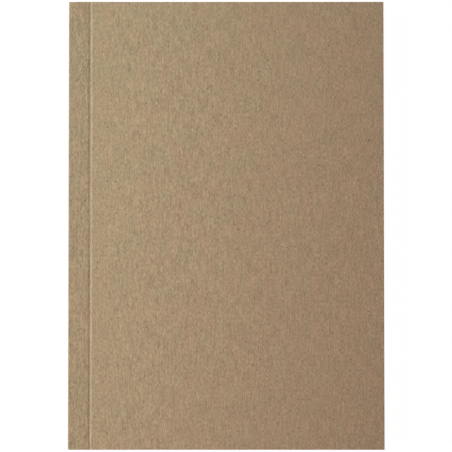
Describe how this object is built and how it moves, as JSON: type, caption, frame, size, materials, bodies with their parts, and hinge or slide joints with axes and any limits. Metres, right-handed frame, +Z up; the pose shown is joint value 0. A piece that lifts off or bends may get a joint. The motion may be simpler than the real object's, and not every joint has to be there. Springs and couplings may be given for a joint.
{
  "type": "pocket notebook",
  "caption": "Softcover pocket notebook with a plain kraft card cover, a pressed hinge score by the spine and sewn sections of blank cream leaves.",
  "frame": {"origin": "middle of the footprint, on the surface that the closed notebook lies on, under its back cover", "axes": "+X from the spine to the fore edge, +Y from the tail to the head, +Z up through the front cover"},
  "size_m": [0.1042, 0.148, 0.0105],
  "materials": {
    "kraft_card": "matte recycled kraft card with fine fibres and specks",
    "cream_paper": "matte uncoated writing paper",
    "lining_paper": "matte unbleached paper",
    "dried_glue": "satin dried adhesive",
    "linen_thread": "waxed two-ply thread"
  },
  "bodies": {
    "back_block": {"spine_panel_back": "kraft_card", "back_hinge_strip": "kraft_card", "back_side_glue": "dried_glue", "spine_glue_back": "dried_glue", "spine_lining_back": "lining_paper", "section_5": "cream_paper", "section_6": "cream_paper", "section_7": "cream_paper", "section_8": "cream_paper", "sewing_thread_5": "linen_thread", "sewing_thread_6": "linen_thread", "sewing_thread_7": "linen_thread", "sewing_thread_8": "linen_thread"},
    "front_block": {"spine_panel_front": "kraft_card", "front_hinge_strip": "kraft_card", "front_side_glue": "dried_glue", "spine_glue_front": "dried_glue", "spine_lining_front": "lining_paper", "section_1": "cream_paper", "section_2": "cream_paper", "section_3": "cream_paper", "section_4": "cream_paper", "sewing_thread_1": "linen_thread", "sewing_thread_2": "linen_thread", "sewing_thread_3": "linen_thread", "sewing_thread_4": "linen_thread"},
    "front_cover": {"front_cover": "kraft_card"},
    "back_cover": {"back_cover": "kraft_card"},
    "leaf_45": {"leaf_45": "cream_paper"},
    "leaf_46": {"leaf_46": "cream_paper"},
    "leaf_47": {"leaf_47": "cream_paper"},
    "leaf_48": {"leaf_48": "cream_paper"},
    "leaf_49": {"leaf_49": "cream_paper"},
    "leaf_50": {"leaf_50": "cream_paper"},
    "leaf_51": {"leaf_51": "cream_paper"},
    "leaf_52": {"leaf_52": "cream_paper"}
  },
  "joints": [
    {"name": "centre_opening", "type": "hinge", "parent": "back_block", "child": "front_block", "pos_m": [-0.05217, 0, 0.00524], "axis": [0, -1, 0], "range_deg": [0, 179.9]},
    {"name": "front_cover_hinge", "type": "hinge", "parent": "front_block", "child": "front_cover", "pos_m": [-0.04512, 0, 0.01089], "axis": [0, -1, 0], "range_deg": [0, 179.9]},
    {"name": "back_cover_hinge", "type": "hinge", "parent": "back_block", "child": "back_cover", "pos_m": [-0.04512, 0, -0.00005], "axis": [0, 1, 0], "range_deg": [0, 179.9]},
    {"name": "leaf_45_turn", "type": "hinge", "parent": "front_block", "child": "leaf_45", "pos_m": [-0.05217, 0, 0.00524], "axis": [0, 1, 0], "range_deg": [0, 15]},
    {"name": "leaf_46_turn", "type": "hinge", "parent": "front_block", "child": "leaf_46", "pos_m": [-0.05217, 0, 0.00524], "axis": [0, 1, 0], "range_deg": [0, 33]},
    {"name": "leaf_47_turn", "type": "hinge", "parent": "front_block", "child": "leaf_47", "pos_m": [-0.05217, 0, 0.00524], "axis": [0, 1, 0], "range_deg": [0, 54]},
    {"name": "leaf_48_turn", "type": "hinge", "parent": "front_block", "child": "leaf_48", "pos_m": [-0.05217, 0, 0.00524], "axis": [0, 1, 0], "range_deg": [0, 76]},
    {"name": "leaf_49_turn", "type": "hinge", "parent": "back_block", "child": "leaf_49", "pos_m": [-0.05217, 0, 0.00524], "axis": [0, -1, 0], "range_deg": [0, 76]},
    {"name": "leaf_50_turn", "type": "hinge", "parent": "back_block", "child": "leaf_50", "pos_m": [-0.05217, 0, 0.00524], "axis": [0, -1, 0], "range_deg": [0, 54]},
    {"name": "leaf_51_turn", "type": "hinge", "parent": "back_block", "child": "leaf_51", "pos_m": [-0.05217, 0, 0.00524], "axis": [0, -1, 0], "range_deg": [0, 33]},
    {"name": "leaf_52_turn", "type": "hinge", "parent": "back_block", "child": "leaf_52", "pos_m": [-0.05217, 0, 0.00524], "axis": [0, -1, 0], "range_deg": [0, 15]}
  ],
  "couplings": [
    {"joint": "leaf_45_turn", "follows": "centre_opening", "ratio": 0.08},
    {"joint": "leaf_46_turn", "follows": "centre_opening", "ratio": 0.18},
    {"joint": "leaf_47_turn", "follows": "centre_opening", "ratio": 0.3},
    {"joint": "leaf_48_turn", "follows": "centre_opening", "ratio": 0.42},
    {"joint": "leaf_49_turn", "follows": "centre_opening", "ratio": 0.42},
    {"joint": "leaf_50_turn", "follows": "centre_opening", "ratio": 0.3},
    {"joint": "leaf_51_turn", "follows": "centre_opening", "ratio": 0.18},
    {"joint": "leaf_52_turn", "follows": "centre_opening", "ratio": 0.08}
  ]
}
